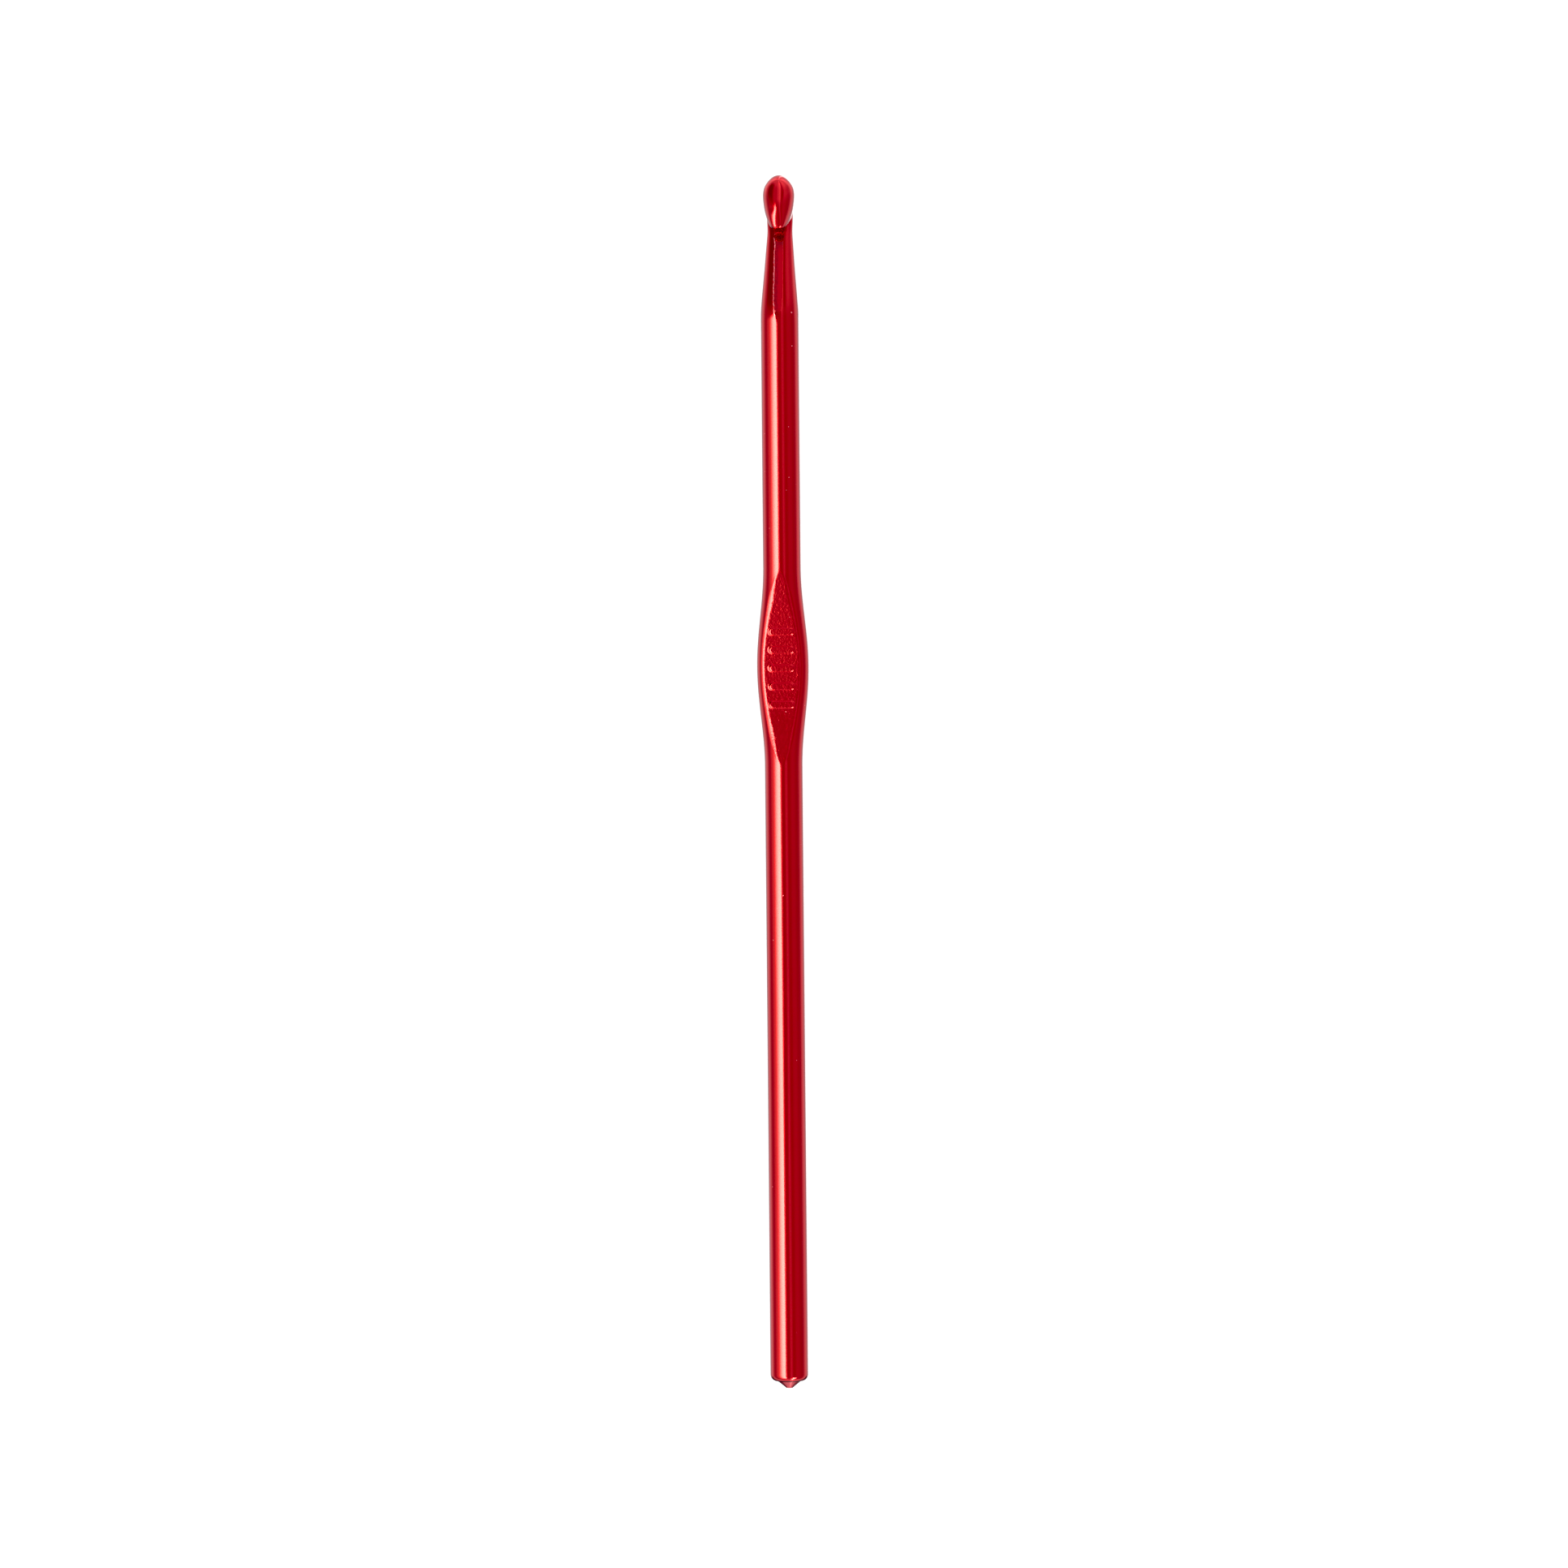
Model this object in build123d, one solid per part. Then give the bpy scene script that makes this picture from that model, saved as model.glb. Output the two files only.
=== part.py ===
from build123d import *
import math
import os

# Crochet hook, 5 mm size, one piece of drawn aluminium rod.
# Frame: millimetres. +X runs along the rod towards the hook head, +Z is the side
# that the mouth and the front thumb flat face, +Y completes the right-handed frame.
# The origin is on the rod's axis at mid-length.
# A station s is a distance measured back from the tip of the head.

# ---------------------------------------------------------------- rod
TOTAL_LENGTH = 160.0      # tip of the head to tip of the tail pip
ROD_D = 5.0               # working shank and handle, the nominal hook size
ROD_R = ROD_D / 2
HALF_LENGTH = TOTAL_LENGTH / 2

# ---------------------------------------------------------------- tail
PIP_TIP_R = 0.58
PIP_TIP_CHAMFER = 0.14
PIP_BASE_R = 1.56
PIP_LENGTH = 0.92
TAIL_CORNER_R = 0.88

# ---------------------------------------------------------------- thumb rest
# Rod pressed between two shallow cylindrical dies.
REST_CENTRE_X = 15.1
REST_HALF_LENGTH = 13.2   # where the side bulge fades into the rod
REST_START_X = REST_CENTRE_X - REST_HALF_LENGTH
REST_END_X = REST_CENTRE_X + REST_HALF_LENGTH
REST_BULGE = 0.925        # extra half-width at the middle
REST_STEPS = 16           # loft intervals along the rest
REST_HALF_THICKNESS = 1.61
REST_DEPTH = ROD_R - REST_HALF_THICKNESS
REST_EDGE_R = 0.22
DIE_CENTRE_X = 14.9
DIE_HALF_CHORD = 12.8
DIE_POWER = 1.35          # above 1 the die runs out gently at both ends
DIE_STEPS = 13            # spline intervals in each half chord
DIE_END_RISE = 0.06       # rise one step past the chord, as a share of REST_DEPTH

# Raised size code on the front flat: one plain bar per millimetre of hook size.
BAR_COUNT = round(ROD_D)
BAR_PITCH = 2.4
BAR_LENGTH = 3.3
BAR_WIDTH = 0.95
BAR_HEIGHT = 0.16
BAR_EDGE_R = 0.12

# ---------------------------------------------------------------- neck
# Tapers from the rod to the throat, flat-backed, with a rising front ramp. Below
# the lip the same body runs on into the head and dies out inside it.
# (s, half-width, back z, front z)
NECK = [
    (18.15, ROD_R, -ROD_R, ROD_R),
    (16.40, 2.375, -2.494, 2.190),
    (14.30, 2.195, -2.488, 1.740),
    (12.15, 2.010, -2.482, 1.240),
    (10.00, 1.845, -2.476, 0.690),
    (8.60, 1.735, -2.470, 0.290),
    (7.40, 1.660, -2.464, -0.080),
    (6.50, 1.680, -2.458, -0.290),
    (5.70, 1.710, -2.456, -0.380),
    (4.90, 1.710, -2.452, -0.400),
    (4.10, 1.660, -2.430, -0.420),
    (3.30, 1.540, -2.310, -0.440),
    (2.50, 1.300, -2.020, -0.500),
]

# Trimmed parting line along the front of the neck.
FACET_DEPTH = 0.080
FACET_THROAT_S = 7.75
FACET_THROAT_RUN = 0.4    # distance over which it lifts off at the throat
FACET_THROAT_CLEAR = 0.05
FACET_SHANK_S = 19.60
FACET_SHANK_DEPTH = 0.002
FACET_SHANK_RUN = 0.7     # distance over which it lifts off on the shank
FACET_SHANK_CLEAR = 0.015

# ---------------------------------------------------------------- head
# Bullet-shaped in side view, teardrop in front view.
# (s, half-width, back z, front z)
HEAD = [
    (0.00, 0.120, -0.420, -0.180),
    (0.04, 0.310, -0.630, 0.040),
    (0.14, 0.590, -0.900, 0.360),
    (0.37, 0.960, -1.240, 0.770),
    (0.70, 1.310, -1.560, 1.150),
    (1.15, 1.650, -1.860, 1.520),
    (1.66, 1.910, -2.090, 1.800),
    (2.20, 2.040, -2.250, 2.010),
    (2.70, 2.080, -2.340, 2.150),
    (3.40, 2.050, -2.390, 2.290),
    (4.20, 1.950, -2.405, 2.380),
    (5.00, 1.800, -2.405, 2.410),
    (5.70, 1.600, -2.405, 2.390),
    (6.30, 1.400, -2.405, 2.330),
    (6.80, 1.200, -2.405, 2.240),
    (7.08, 1.060, -2.405, 2.160),
    (7.22, 0.970, -2.405, 2.090),
]

# Mouth: the underside of the lip, from its tip to the foot of the notch.
LIP_TIP_S = HEAD[-1][0]
LIP_UNDER_Z = 1.55        # underside of the lip at its tip
LIP_EDGE_R = 0.16
NOTCH_ROOT_S = 5.72
NOTCH_ROOT_Z = -0.45
NOTCH_ROOT_R = 0.40
SLANT_OVERRUN = 1.1       # slant past the notch foot, in lengths of the underside

# Where the edges between lip and neck at the foot of the notch are found.
ROOT_S_RANGE = (4.5, 6.2)
ROOT_MAX_Z = -0.3
ROOT_MIN_LENGTH = 2


def at(s):
    """X of station s; the same sum turns an X back into a station."""
    return HALF_LENGTH - s


def cross_plane(x, z=0):
    """Plane across the rod, with its own x axis along Y."""
    return Plane(origin=(x, 0, z), x_dir=(0, 1, 0), z_dir=(1, 0, 0))


def rod_section(x, half_width):
    """Section as thick as the rod: an ellipse, or a circle at the rod's own width."""
    is_round = abs(half_width - ROD_R) < 1e-9
    return cross_plane(x) * (Circle(ROD_R) if is_round else Ellipse(half_width, ROD_R))


def ellipse_section(s, half_width, back, front):
    plane = cross_plane(at(s), (front + back) / 2)
    return plane * Ellipse(half_width, (front - back) / 2)


def curved_cutter(profile, far_z, half_width):
    """Block between a spline through (x, z) points and the level far_z."""
    curve = Edge.make_spline([Vector(x, -half_width, z) for x, z in profile])
    first, last = profile[0], profile[-1]
    corners = [last, (last[0], far_z), (first[0], far_z), first]
    corners = [Vector(x, -half_width, z) for x, z in corners]
    walls = [Edge.make_line(p, q) for p, q in zip(corners[:-1], corners[1:])]
    return Solid.extrude(Face(Wire([curve] + walls)), Vector(0, 2 * half_width, 0))


def make_handle():
    """Tail pip, turned corner and plain rod up to the thumb rest."""
    pip_base_x = -HALF_LENGTH + PIP_LENGTH
    corner_x = pip_base_x + TAIL_CORNER_R
    corner_z = ROD_R - TAIL_CORNER_R
    corner_diagonal = TAIL_CORNER_R * math.cos(math.radians(45))
    with BuildPart() as handle:
        with BuildSketch(Plane.XZ):
            with BuildLine():
                Polyline(
                    (-HALF_LENGTH, 0),
                    (-HALF_LENGTH, PIP_TIP_R - PIP_TIP_CHAMFER),
                    (-HALF_LENGTH + PIP_TIP_CHAMFER, PIP_TIP_R),
                    (pip_base_x, PIP_BASE_R),
                    (pip_base_x, corner_z),
                )
                ThreePointArc(
                    (pip_base_x, corner_z),
                    (corner_x - corner_diagonal, corner_z + corner_diagonal),
                    (corner_x, ROD_R),
                )
                Polyline(
                    (corner_x, ROD_R),
                    (REST_START_X, ROD_R),
                    (REST_START_X, 0),
                    (-HALF_LENGTH, 0),
                )
            make_face()
        revolve(axis=Axis.X)
    return handle.part


def flat_z(t):
    """Height of the pressed flat, with t from -1 to 1 along the die's chord."""
    return ROD_R - REST_DEPTH * (1 - t * t) ** DIE_POWER


def make_thumb_rest():
    sections = []
    for i in range(REST_STEPS + 1):
        t = -1 + 2 * i / REST_STEPS
        half_width = ROD_R + REST_BULGE * math.cos(math.pi / 2 * t) ** 2
        sections.append(rod_section(REST_CENTRE_X + t * REST_HALF_LENGTH, half_width))
    rest = loft(sections)

    # One extra point past each end lifts the die clear of the rod.
    die_points = []
    for i in range(-DIE_STEPS - 1, DIE_STEPS + 2):
        t = i / DIE_STEPS
        z = flat_z(t) if abs(i) <= DIE_STEPS else ROD_R + REST_DEPTH * DIE_END_RISE
        die_points.append((DIE_CENTRE_X + t * DIE_HALF_CHORD, z))
    for side in (1, -1):
        profile = [(x, side * z) for x, z in die_points]
        rest = rest - curved_cutter(profile, far_z=side * 9, half_width=10)

    # The rims of the flats are long and curve in both Y and Z.
    rims = []
    for edge in rest.edges():
        size = edge.bounding_box().size
        if edge.length > 2 * DIE_HALF_CHORD and size.Z > 0.5 * REST_DEPTH and size.Y > ROD_R:
            rims.append(edge)
    return fillet(rims, REST_EDGE_R)


def make_shank():
    """Plain rod from the thumb rest to the neck."""
    neck_x = at(NECK[0][0])
    middle = Pos((REST_END_X + neck_x) / 2, 0, 0)
    return middle * Rot(0, 90, 0) * Cylinder(ROD_R, neck_x - REST_END_X)


def make_neck():
    start = rod_section(at(NECK[0][0]), ROD_R)
    return loft([start] + [ellipse_section(*row) for row in NECK[1:]])


def make_head():
    """The part of the head in front of one slanted plane, which runs from the lip's
    tip down through the foot of the notch and on into the neck."""
    head = loft([ellipse_section(*row) for row in HEAD])
    slant_s = (NOTCH_ROOT_S - LIP_TIP_S) * SLANT_OVERRUN
    slant_z = (NOTCH_ROOT_Z - LIP_UNDER_Z) * SLANT_OVERRUN
    behind_lip_s = LIP_TIP_S + 0.6
    outline = [
        (-1, -4),
        (-1, 4),
        (behind_lip_s, 4),
        (behind_lip_s, LIP_UNDER_Z + 0.30),
        (LIP_TIP_S, LIP_UNDER_Z),
        (NOTCH_ROOT_S + slant_s, NOTCH_ROOT_Z + slant_z),
    ]
    wire = Wire.make_polygon([Vector(at(s), -5, z) for s, z in outline], close=True)
    head = head & Solid.extrude(Face(wire), Vector(0, 10, 0))
    under = [
        f for f in head.faces()
        if f.geom_type == GeomType.PLANE and f.normal_at().X < -0.3 and f.normal_at().Z < -0.2
    ]
    return fillet(under[0].edges(), LIP_EDGE_R)


def is_notch_root(edge):
    box = edge.bounding_box()
    return (
        at(box.max.X) > ROOT_S_RANGE[0] and at(box.min.X) < ROOT_S_RANGE[1]
        and box.max.Z < ROOT_MAX_Z and edge.length > ROOT_MIN_LENGTH
    )


def make_hook_end():
    """Neck and head joined, with the foot of the notch rounded."""
    hook_end = make_neck() + make_head()
    root = [e for e in hook_end.edges() if is_notch_root(e)]
    return fillet(root, NOTCH_ROOT_R)


def make_facet_cutter():
    """Trims a narrow flat along the front of the neck, which runs out over the shank
    and lifts off again just before the throat."""
    ramp = [(s, front) for s, _, _, front in NECK if s > FACET_THROAT_S]
    last_s, last_z = ramp[-1]
    next_s, _, _, next_z = NECK[len(ramp)]
    slope = (last_z - next_z) / (last_s - next_s)

    def front_at(s):
        return next_z + slope * (s - next_s)

    lift_s = FACET_THROAT_S - FACET_THROAT_RUN
    stations = [
        (FACET_SHANK_S + FACET_SHANK_RUN, ROD_R + FACET_SHANK_CLEAR),
        (FACET_SHANK_S, ROD_R - FACET_SHANK_DEPTH),
        *[(s, z - FACET_DEPTH) for s, z in ramp],
        (FACET_THROAT_S, front_at(FACET_THROAT_S) - FACET_DEPTH),
        (lift_s, front_at(lift_s) + FACET_THROAT_CLEAR),
    ]
    return curved_cutter([(at(s), z) for s, z in stations], far_z=4, half_width=3)


def make_size_bar(index):
    """Bar across the front flat, standing up from the rod's axis."""
    offset = (index - (BAR_COUNT - 1) / 2) * BAR_PITCH
    top_z = flat_z(offset / DIE_HALF_CHORD) + BAR_HEIGHT
    slot = extrude(SlotOverall(BAR_LENGTH, BAR_WIDTH), top_z)
    bar = Pos(DIE_CENTRE_X + offset, 0, 0) * Rot(0, 0, 90) * slot
    return fillet(bar.faces().sort_by(Axis.Z)[-1].edges(), BAR_EDGE_R)


body = make_handle() + make_thumb_rest()
body = body + make_shank()
body = body + make_hook_end()
body = body - make_facet_cutter()
for i in range(BAR_COUNT):
    body = body + make_size_bar(i)

os.makedirs("parts", exist_ok=True)
# A single solid is written bare, without the compound around it.
solids = body.solids()
export_step(solids[0] if len(solids) == 1 else body, "parts/hook_body.step")
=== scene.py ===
"""A crochet hook of red anodised aluminium: a plain rod with a pressed thumb rest that
carries raised bars, a neck trimmed flat in front, a head with a lip, and a pip on the tail.

The hook lies along X, centred on the origin, with its head towards +X. Y is across it, and
+Z is its front, where the mouth, the trimmed flat and the bars are. Lengths are in mm.
"""
import bpy
import math
import numpy as np
from mathutils import Matrix, Vector


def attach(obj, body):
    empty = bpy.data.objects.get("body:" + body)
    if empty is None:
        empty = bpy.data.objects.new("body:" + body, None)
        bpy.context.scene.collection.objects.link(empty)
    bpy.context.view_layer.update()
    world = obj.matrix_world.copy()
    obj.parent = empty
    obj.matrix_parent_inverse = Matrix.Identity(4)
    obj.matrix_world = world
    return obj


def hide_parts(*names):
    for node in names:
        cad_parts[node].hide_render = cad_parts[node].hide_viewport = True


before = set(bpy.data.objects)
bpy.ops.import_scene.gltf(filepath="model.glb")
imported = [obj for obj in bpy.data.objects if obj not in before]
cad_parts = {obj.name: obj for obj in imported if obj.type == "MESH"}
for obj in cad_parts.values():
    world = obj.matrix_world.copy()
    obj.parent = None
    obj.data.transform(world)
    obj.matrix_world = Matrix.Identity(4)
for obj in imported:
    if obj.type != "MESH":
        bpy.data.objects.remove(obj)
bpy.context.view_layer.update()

MM = 0.001

# =====================================================================
# Sizes. s is the distance back from the tip of the head: x = HALF - s.
# =====================================================================
HALF, ROD_R = 80.0, 2.5

# thumb rest: the rod bulges in Y where two dies pressed it flat in Z
REST_X, REST_HALF, REST_BULGE = 15.1, 13.2, 0.925
DIE_X, DIE_HALF, DIE_POWER, DIE_FLARE = 14.9, 12.8, 1.35, 0.06
REST_HALF_THICK, REST_EDGE_R = 1.61, 0.23
BARS, BAR_PITCH, BAR_LEN, BAR_W, BAR_H = 5, 2.4, 3.3, 0.95, 0.16
BAR_FOOT, BAR_SHOULDER = 0.02, 0.13      # outside and inside the bar's outline

# s, half width, back z, front z
NECK = np.array([
    (18.15, 2.500, -2.500, 2.500), (16.40, 2.375, -2.494, 2.190),
    (14.30, 2.195, -2.488, 1.740), (12.15, 2.010, -2.482, 1.240),
    (10.00, 1.845, -2.476, 0.690), (8.60, 1.735, -2.470, 0.290),
    (7.40, 1.660, -2.464, -0.080), (6.50, 1.680, -2.458, -0.290),
    (5.70, 1.710, -2.456, -0.380), (4.90, 1.710, -2.452, -0.400),
    (4.10, 1.660, -2.430, -0.420), (3.30, 1.540, -2.310, -0.440),
    (2.50, 1.300, -2.020, -0.500),
])
HEAD = np.array([
    (0.00, 0.000, -0.300, -0.300), (0.04, 0.310, -0.630, 0.040),
    (0.14, 0.590, -0.900, 0.360), (0.37, 0.960, -1.240, 0.770),
    (0.70, 1.310, -1.560, 1.150), (1.15, 1.650, -1.860, 1.520),
    (1.66, 1.910, -2.090, 1.800), (2.20, 2.040, -2.250, 2.010),
    (2.70, 2.080, -2.340, 2.150), (3.40, 2.050, -2.390, 2.290),
    (4.20, 1.950, -2.405, 2.380), (5.00, 1.800, -2.405, 2.410),
    (5.70, 1.600, -2.405, 2.390), (6.30, 1.400, -2.405, 2.330),
    (6.80, 1.200, -2.405, 2.240), (7.08, 1.060, -2.405, 2.160),
    (7.22, 0.970, -2.405, 2.090),
])
NECK_END_S, NECK_TIP_S = NECK[0, 0], NECK[-1, 0]
NECK_LIMIT_S, HEAD_LIMIT_S = 19.9, 7.6   # how far the two splines are followed
LIP_TIP_S, LIP_UNDER_Z = HEAD[-1, 0], 1.55
LIP_EDGE_R, LIP_END_R, LIP_BLUNT = 0.16, 0.28, 0.60
MOUTH_R, MOUTH_MIN_R = 0.76, 0.05        # fill of the corner between neck and lip
FAIR_START_S, FAIR_END_S, FAIR_R = 16.2, 19.85, 0.17   # where neck and rod blend

# the flat on the front of the neck, and the chatter on it
FACET_DEPTH, FACET_START_S, FACET_END_S = 0.080, 7.75, 19.60
FACET_FIRST_S, FACET_LAST_S = FACET_START_S - 0.4, FACET_END_S + 0.7
FACET_WAVES = [(0.0050, 4.9, 0.7), (0.0035, 11.3, 2.1), (0.0024, 23.0, 0.0)]  # height, rad/mm, phase
SCALE_WAVE = (0.0040, 31.0, 1.0)
RIDGES, RIDGE_W = [(0.020, 16.60), (0.022, 18.05)], 0.055        # height, s

# rings of vertices
N = 216               # vertices round each ring
DENSE = 480           # rays used to find each ring before it is spaced out
TURN_SHARE = 0.30     # share of the spacing that goes by turning, so that edges get vertices
FAN_S, FAN_Z = 6.70, 0.30                # pivot of the fan of rings round the mouth
FAN_RINGS = 118
ABOVE_Z = 3.0         # start of the downward rays outside the mouth
REACH, RAY_START = 9.0, 0.02
SQUARE_DOWN = -math.pi / 2

# start s, end s, spacing
STATION_RUNS = [
    (FAN_S, 7.30, 0.10), (7.30, 8.20, 0.06), (8.20, 16.42, 0.17), (16.42, 16.78, 0.045),
    (16.78, 17.86, 0.15), (17.86, 18.149, 0.045), (NECK_END_S, 18.20, 0.05), (18.20, 20.30, 0.15),
]
ROUND_FROM_S = 20.35
ROD_STATIONS = [20.30, 21.0, 23.0, 27.0, 32.0, 38.0, 44.0, 49.0, 51.2]
TAIL_STATIONS = [78.9, 81.0, 85.0] + list(np.arange(90.0, 156.0, 5.5)) + [157.2, 158.19]
REST_STEP = 0.27
BAR_OFFSETS = [0.14, 0.28, 0.35, 0.40, 0.445, 0.48, 0.515, 0.56, 0.72]   # either side of a bar
BETWEEN_BARS = [1.0, 1.4]
FIRST_BAR_S = HALF - DIE_X - (BARS - 1) / 2 * BAR_PITCH

# tail: turned corner, then the pip
CORNER_S, CORNER_R = 158.20, 0.88
SHOULDER_S = CORNER_S + CORNER_R
PIP_STEP, PIP_ARC_STEPS = 0.16, 4


# =====================================================================
# Shape. Each function is negative inside the metal.
# =====================================================================
def spline(xs, ys):
    """Natural cubic spline through the points, straight beyond both ends."""
    order = np.argsort(xs)
    xs, ys = np.asarray(xs, float)[order], np.asarray(ys, float)[order]
    n, gap = len(xs), np.diff(xs)
    system, load = np.eye(n), np.zeros(n)
    for i in range(1, n - 1):
        system[i, i - 1:i + 2] = gap[i - 1], 2 * (gap[i - 1] + gap[i]), gap[i]
        load[i] = 6 * ((ys[i + 1] - ys[i]) / gap[i] - (ys[i] - ys[i - 1]) / gap[i - 1])
    bend = np.linalg.solve(system, load)
    first = (ys[1] - ys[0]) / gap[0] - gap[0] * (2 * bend[0] + bend[1]) / 6
    last = (ys[-1] - ys[-2]) / gap[-1] + gap[-1] * (bend[-2] + 2 * bend[-1]) / 6

    def value(x):
        x = np.asarray(x, float)
        i = np.clip(np.searchsorted(xs, x) - 1, 0, n - 2)
        t, h = x - xs[i], gap[i]
        slope = (ys[i + 1] - ys[i]) / h - h * (2 * bend[i] + bend[i + 1]) / 6
        y = ys[i] + t * (slope + t * (bend[i] / 2 + t * (bend[i + 1] - bend[i]) / (6 * h)))
        y = np.where(x < xs[0], ys[0] + first * (x - xs[0]), y)
        return np.where(x > xs[-1], ys[-1] + last * (x - xs[-1]), y)

    return value


def ease(value, start, end):
    """Smooth step: 0 at start, 1 at end, whichever of the two is greater."""
    t = np.clip((value - start) / (end - start), 0, 1)
    return t * t * (3 - 2 * t)


def wave(s, height, rate, phase):
    return height * np.sin(rate * s + phase)


neck_half_width, neck_back, neck_front = (spline(NECK[:, 0], NECK[:, i]) for i in (1, 2, 3))
# the head's half axes are splined squared, so that the nose comes out round
head_width_sq = spline(HEAD[:, 0], HEAD[:, 1] ** 2)
head_depth_sq = spline(HEAD[:, 0], ((HEAD[:, 3] - HEAD[:, 2]) / 2) ** 2)
head_centre = spline(HEAD[:, 0], (HEAD[:, 3] + HEAD[:, 2]) / 2)


def facet_spline():
    """Height of the flat: it runs below the neck's front and leaves the metal at both ends."""
    rows = [(s, z - FACET_DEPTH) for s, _, _, z in NECK if s > FACET_START_S]
    (s1, _, _, z1), (s0, _, _, z0) = NECK[5], NECK[6]
    slope = (z1 - z0) / (s1 - s0)
    rows += [
        (FACET_START_S, z0 + slope * (FACET_START_S - s0) - FACET_DEPTH),
        (FACET_FIRST_S, z0 + slope * (FACET_FIRST_S - s0) + 0.05),
        (FACET_END_S, ROD_R - 0.002),
        (FACET_LAST_S, ROD_R + 0.015),
    ]
    return spline(*zip(*rows))


facet_line = facet_spline()


def facet_z(s):
    """Height of the trimmed flat, with its chatter."""
    chatter = sum(wave(s, *row) for row in FACET_WAVES)
    chatter = chatter + wave(s, *SCALE_WAVE) * ease(s, 8.0, 8.3) * ease(s, 10.2, 9.7)
    for height, ridge_s in RIDGES:
        chatter = chatter + height * np.exp(-((s - ridge_s) / RIDGE_W) ** 2)
    return facet_line(s) + ease(s, 7.9, 8.7) * ease(s, 19.4, 18.4) * chatter


def oval(y, z, half_width, half_depth):
    """Near-distance to an ellipse."""
    k0 = np.sqrt((y / half_width) ** 2 + (z / half_depth) ** 2)
    k1 = np.sqrt((y / half_width ** 2) ** 2 + (z / half_depth ** 2) ** 2) + 1e-9
    return k0 * (k0 - 1) / k1


def round_and(f, g, r):
    """Intersection with its edge rounded to radius r."""
    u, v = np.maximum(f + r, 0), np.maximum(g + r, 0)
    return np.minimum(np.maximum(f, g) + r, 0) + np.hypot(u, v) - r


def round_or(f, g, r):
    """Union with its corner filled to radius r."""
    u, v = np.maximum(r - f, 0), np.maximum(r - g, 0)
    return np.maximum(np.minimum(f, g) - r, 0) - np.hypot(u, v) + r


def rest_half_width(x):
    t = np.clip((x - REST_X) / REST_HALF, -1, 1)
    return ROD_R + REST_BULGE * np.cos(np.pi / 2 * t) ** 2


def rest_half_thick(x):
    t = np.abs((x - DIE_X) / DIE_HALF)
    pressed = ROD_R - (ROD_R - REST_HALF_THICK) * np.maximum(1 - t * t, 0) ** DIE_POWER
    return np.where(t < 1, pressed, ROD_R + DIE_FLARE * DIE_HALF * (t - 1))


def lip_under(s, z):
    """Distance outside the slanting plane under the lip."""
    return -0.8 * (LIP_TIP_S - s) - 0.6 * (z - LIP_UNDER_Z)


def rod_shape(x, y, z):
    """Rod and thumb rest."""
    thick = rest_half_thick(x)
    edge = REST_EDGE_R * ease(ROD_R - thick, 0, 0.42) + 1e-4
    rod = oval(y, z, rest_half_width(x), ROD_R)
    return np.where(thick < ROD_R, round_and(rod, np.abs(z) - thick, edge), rod)


def front_shape(s, y, z):
    """Neck, throat, head and lip."""
    neck_s = np.clip(s, NECK_TIP_S, NECK_LIMIT_S)
    back, front = neck_back(neck_s), neck_front(neck_s)
    neck = oval(y, z - (back + front) / 2, neck_half_width(neck_s), (front - back) / 2)
    neck = np.maximum(neck, NECK_TIP_S - s)

    head_s = np.clip(s, 0, HEAD_LIMIT_S)
    half_width = np.sqrt(np.maximum(head_width_sq(head_s), 1e-8))
    half_depth = np.sqrt(np.maximum(head_depth_sq(head_s), 1e-8))
    # the lip is flatter across its top than the nose
    blunt = LIP_BLUNT * ease(s, 4.4, 6.8) * ease(z, 0, 0.8)
    head_y = y * np.maximum(np.abs(y) / half_width, 1e-6) ** blunt
    head = oval(head_y, z - head_centre(head_s), half_width, half_depth)
    head = np.where(s < 0, np.maximum(head, -s), head)
    lip = round_and(head, s - LIP_TIP_S, LIP_END_R)
    lip = round_and(lip, lip_under(s, z), LIP_EDGE_R * ease(z, -1.6, -0.8) + 0.01)

    fill = MOUTH_MIN_R + (MOUTH_R - MOUTH_MIN_R) * ease(z, -1.25, -0.55) * ease(s, 7.6, 7.0)
    return np.where(s < NECK_TIP_S + 0.1, lip, round_or(neck, lip, fill))


def shape(s, y, z):
    """The whole hook, apart from the bars and the tail's end."""
    if np.min(s) > FACET_LAST_S:
        return rod_shape(HALF - s, y, z)
    metal = front_shape(s, y, z)
    if np.max(s) >= FAIR_START_S:
        # the taper starts off the rod gently
        rod = rod_shape(HALF - s, y, z)
        blend = FAIR_R * ease(z, -0.5, 1.1) + 1e-4
        near = np.maximum(blend - np.abs(metal - rod), 0) / blend
        both = np.maximum(metal, rod) + near * near * blend / 4
        metal = np.where(s < FAIR_START_S, metal, np.where(s < FAIR_END_S, both, rod))
    trim = (z - facet_z(s)) * 0.97
    trimmed = (s > FACET_FIRST_S) & (s < FACET_LAST_S)
    return np.where(trimmed, np.maximum(metal, trim), metal)


# =====================================================================
# Rings, each an N x 3 array of (s, y, z)
# =====================================================================
def metal_span(start_s, start_z, angle, samples):
    """Distances at which a ray in the middle plane enters and leaves the metal, or None."""
    rho = np.linspace(RAY_START, REACH, samples)
    s, z = start_s - rho * math.cos(angle), start_z + rho * math.sin(angle)
    inside = shape(s, np.zeros_like(rho), z) < 0
    if not inside.any():
        return None
    first = int(np.argmax(inside))
    run = np.argmax(~inside[first:]) or len(inside) - first
    return rho[first], rho[first + run - 1]


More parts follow.
